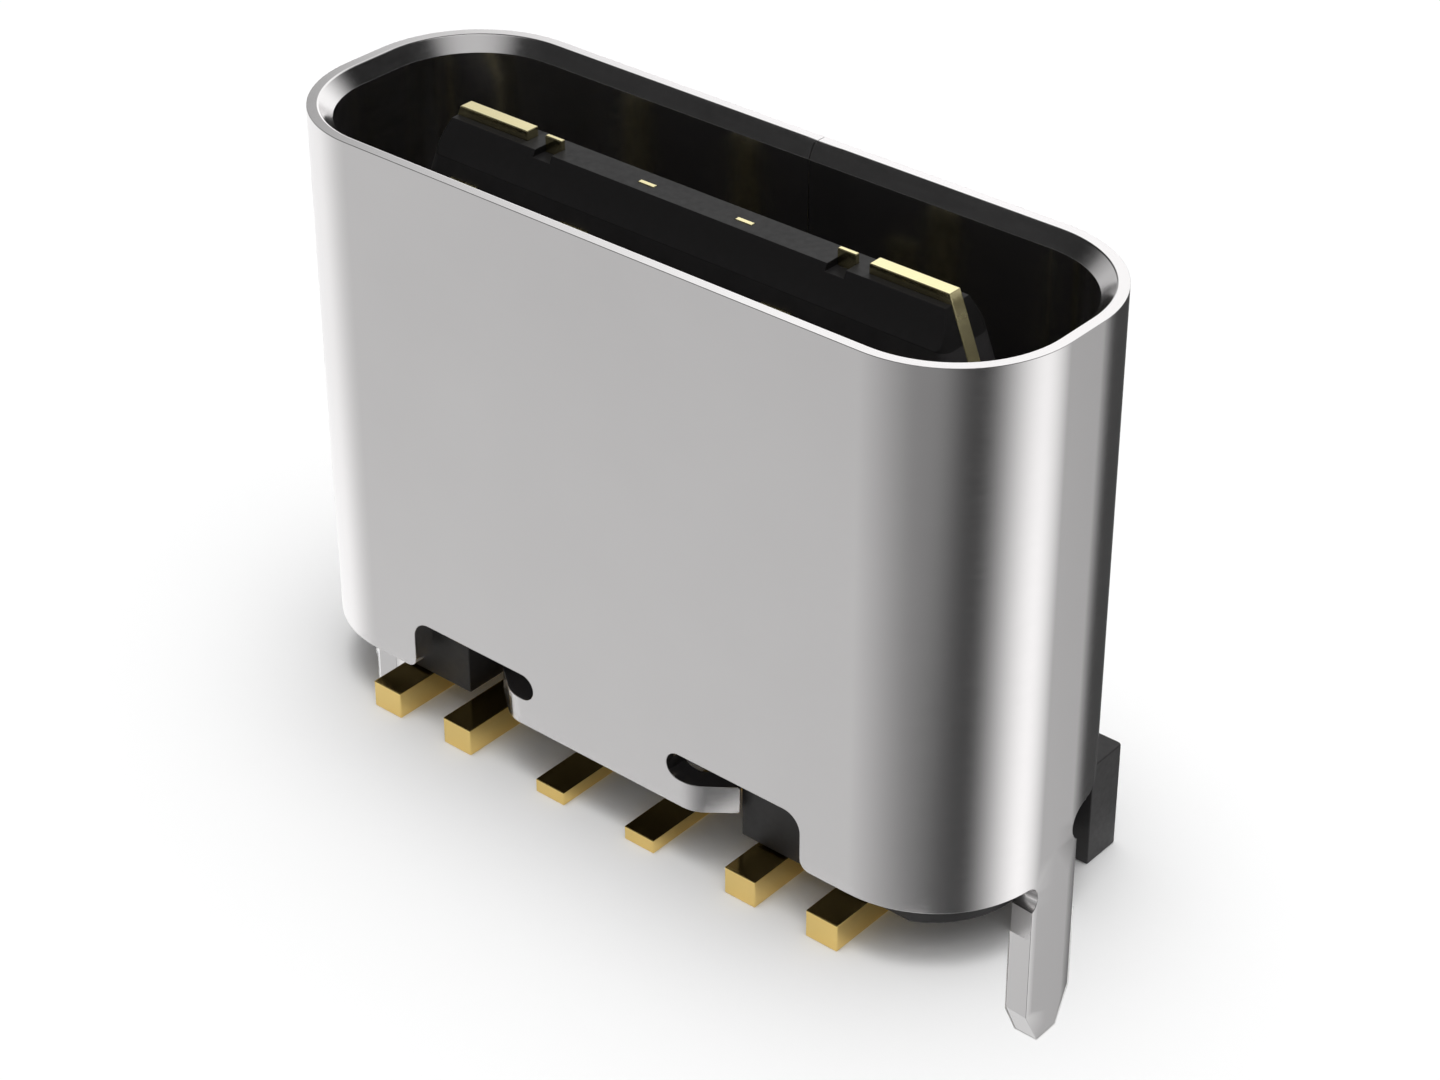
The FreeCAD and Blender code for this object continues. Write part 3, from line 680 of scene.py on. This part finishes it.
def make_floor(name, level, windows, pale):
    """A plain pale sheet that only the camera sees; it is clear from below, and over the stakes."""
    me = bpy.data.meshes.new(name)
    s, z = 0.6, level * MM
    me.from_pydata([(-s, -s, z), (s, -s, z), (s, s, z), (-s, s, z)], [], [(0, 1, 2, 3)])
    ob = bpy.data.objects.new(name, me)
    scene.collection.objects.link(ob)
    m = Net(name)
    m.set(Base_Color=(pale, pale, pale, 1.0), Roughness=1.0)
    m.bsdf.inputs["Specular IOR Level"].default_value = 0.0
    clear = m.node("ShaderNodeBsdfTransparent").outputs[0]
    mix = m.node("ShaderNodeMixShader")
    back = m.node("ShaderNodeNewGeometry").outputs["Backfacing"]
    cover = m.math("SUBTRACT", 1.0, back)
    if windows:
        xyz = m.node("ShaderNodeSeparateXYZ", {"Vector": m.coord}).outputs
        thin = None
        for shape, *data in windows:
            k = shape(m, xyz[0], xyz[1], *data)
            thin = k if thin is None else m.math("MAXIMUM", thin, k)
        cover = m.math("MULTIPLY", cover, m.math("SUBTRACT", 1.0, thin))
    m.link(cover, mix.inputs[0])
    m.link(clear, mix.inputs[1])
    m.link(m.bsdf.outputs[0], mix.inputs[2])
    m.link(mix.outputs[0], m.out.inputs[0])
    me.materials.append(m.mat)
    ob.visible_glossy = False
    ob.visible_diffuse = False
    ob.visible_transmission = False
    ob.visible_shadow = False
    return ob


floor = make_floor(
    "floor",
    0.0,
    [
        (
            mask_outline,
            [(4.42, 0.36), (4.17, -0.33), (4.79, -1.24), (5.02, -1.41), (5.26, -1.41), (5.26, -1.13), (5.02, -0.58)],
            0.012,
        ),
        (mask_capsule, (-4.295, -0.33), (-3.30, -1.24), 0.084, 0.084, 0.02),
        (mask_capsule, (-3.72, -0.80), (-3.40, -1.00), 0.13, 0.13, 0.04),
    ],
    0.92,
)
under_floor = make_floor("under_floor", -1.42, [], 0.90)


def make_board():
    """The patch of floor that the feet and stakes mirror: seen by reflections only, with a soft border."""
    me = bpy.data.meshes.new("board_patch")
    s = 0.007
    me.from_pydata([(-s, -s, 0), (s, -s, 0), (s, s, 0), (-s, s, 0)], [], [(0, 1, 2, 3)])
    ob = bpy.data.objects.new("board_patch", me)
    scene.collection.objects.link(ob)
    m = Net("board_patch")
    m.set(Base_Color=(0.92, 0.92, 0.92, 1.0), Roughness=1.0)
    m.bsdf.inputs["Specular IOR Level"].default_value = 0.0
    xyz = m.node("ShaderNodeSeparateXYZ", {"Vector": m.coord}).outputs
    gap = m.math("SUBTRACT", m.math("ABSOLUTE", xyz[0]), 3.3 * MM)
    gap = m.math("MAXIMUM", gap, 0.0)
    gap = m.math("SQRT", m.math("ADD", m.math("MULTIPLY", gap, gap), m.math("MULTIPLY", xyz[1], xyz[1])))
    cover = m.smooth(gap, 2.30 * MM, 1.95 * MM)
    cover = m.math("MULTIPLY", cover, m.smooth(m.math("ABSOLUTE", xyz[0]), 4.40 * MM, 4.20 * MM))
    mix = m.node("ShaderNodeMixShader")
    m.link(cover, mix.inputs[0])
    m.link(m.node("ShaderNodeBsdfTransparent").outputs[0], mix.inputs[1])
    m.link(m.bsdf.outputs[0], mix.inputs[2])
    m.link(mix.outputs[0], m.out.inputs[0])
    me.materials.append(m.mat)
    ob.visible_camera = False
    ob.visible_diffuse = False
    ob.visible_transmission = False
    ob.visible_shadow = False
    return ob


board_patch = make_board()


# ------------------------------------------------------------------ studio light
def make_world():
    """Soft studio light. Mirrors see a wide soft wall on the left, a strip on the right, a low wall behind
    and a round lamp overhead, with dark gaps between them; matt surfaces are lit from above and by a pale ground."""
    world = bpy.data.worlds.new("studio")
    scene.world = world
    world.use_nodes = True
    m = Net(None, world.node_tree)
    direction = m.node("ShaderNodeTexCoord").outputs["Generated"]
    x, y, z = m.node("ShaderNodeSeparateXYZ", {"Vector": direction}).outputs
    rise = m.math("MULTIPLY", m.math("ARCSINE", z), 180 / math.pi)

    def off(centre):
        """Signed angle in degrees round the upright axis from a lamp's middle; 0 is the front, 90 the right."""
        c, s = math.cos(math.radians(centre)), math.sin(math.radians(centre))
        front, right = m.math("MULTIPLY", y, -1.0), x
        along = m.math("ADD", m.math("MULTIPLY", front, c), m.math("MULTIPLY", right, s))
        across = m.math("SUBTRACT", m.math("MULTIPLY", right, c), m.math("MULTIPLY", front, s))
        return m.math("MULTIPLY", m.math("ARCTAN2", across, along), 180 / math.pi)

    def product(*values):
        out = values[0]
        for v in values[1:]:
            out = m.math("MULTIPLY", out, v)
        return out

    lights = []
    left = off(-100)
    left_wall = m.math(
        "ADD",
        product(m.smooth(left, 160, 30), 0.637),
        product(m.smooth(left, 52, 10), 0.42),
    )
    low = product(m.spread(rise, -28.5, -34.5, 0.94, 1.06), m.spread(rise, -58, -40, 0.62, 1.0))
    edge = m.spread(left, -50, 10, 0.92, 1.0)
    lights.append(product(left_wall, edge, low, m.smooth(left, -62, -32), m.smooth(rise, 35, -15)))
    strip = off(115)
    lights.append(product(m.smooth(strip, -53, 7), m.smooth(strip, 52, 2), low, m.smooth(rise, 30, 0), 1.13))
    fold = off(32)
    lights.append(
        product(m.smooth(fold, -26, 0), m.smooth(fold, 26, 0), m.spread(rise, -37.5, -28.5, 0.0, 0.13), m.smooth(rise, 5, -15))
    )
    behind = off(-160)
    lights.append(
        product(m.smooth(behind, 34, 18), m.smooth(behind, -50, -12), m.smooth(rise, -12, 6), m.smooth(rise, 60, 35), 1.18)
    )
    ka, ke = math.radians(38), math.radians(75)
    key = (math.sin(ka) * math.cos(ke), -math.cos(ka) * math.cos(ke), math.sin(ke))
    to_key = m.node("ShaderNodeVectorMath", {0: direction, 1: key}, operation="DOT_PRODUCT").outputs["Value"]
    lights.append(product(m.smooth(to_key, math.cos(math.radians(34)), math.cos(math.radians(8))), 0.56))
    for around, height, wide, full, power in ((-97, 17, 16, 5, 0.16), (-48, 43, 22, 8, 0.013)):
        sa, se = math.radians(around), math.radians(height)
        towards = (math.sin(sa) * math.cos(se), -math.cos(sa) * math.cos(se), math.sin(se))
        near = m.node("ShaderNodeVectorMath", {0: direction, 1: towards}, operation="DOT_PRODUCT").outputs["Value"]
        lights.append(product(m.smooth(near, math.cos(math.radians(wide)), math.cos(math.radians(full))), power))
    total = m.spread(rise, -15, 5, 0.045, 0.010)
    for v in lights:
        total = m.math("ADD", v, total)

    path = m.node("ShaderNodeLightPath").outputs
    tent = m.spread(rise, -20, 10, 1.15, 0.30)
    for around, height, wide, full, power in (
        (0, 90, 40, 5, 0.81), (0, 90, 22, 3, 4.57), (45, 72, 30, 5, 0.67), (90, 72, 30, 5, 0.92), (-135, 72, 30, 5, 0.86)
    ):
        sa, se = math.radians(around), math.radians(height)
        towards = (math.sin(sa) * math.cos(se), -math.cos(sa) * math.cos(se), math.sin(se))
        near = m.node("ShaderNodeVectorMath", {0: direction, 1: towards}, operation="DOT_PRODUCT").outputs["Value"]
        tent = m.math(
            "ADD", tent, product(m.smooth(near, math.cos(math.radians(wide)), math.cos(math.radians(full))), power)
        )
    level = m.node("ShaderNodeMix", data_type="FLOAT")
    m.link(path["Is Glossy Ray"], level.inputs[0])
    m.link(tent, level.inputs[2])
    m.link(total, level.inputs[3])
    back = m.node("ShaderNodeBackground", {"Strength": level.outputs[0]})
    back.inputs["Color"].default_value = (1, 1, 1, 1)
    out = m.node("ShaderNodeOutputWorld", {"Surface": back.outputs[0]})


make_world()
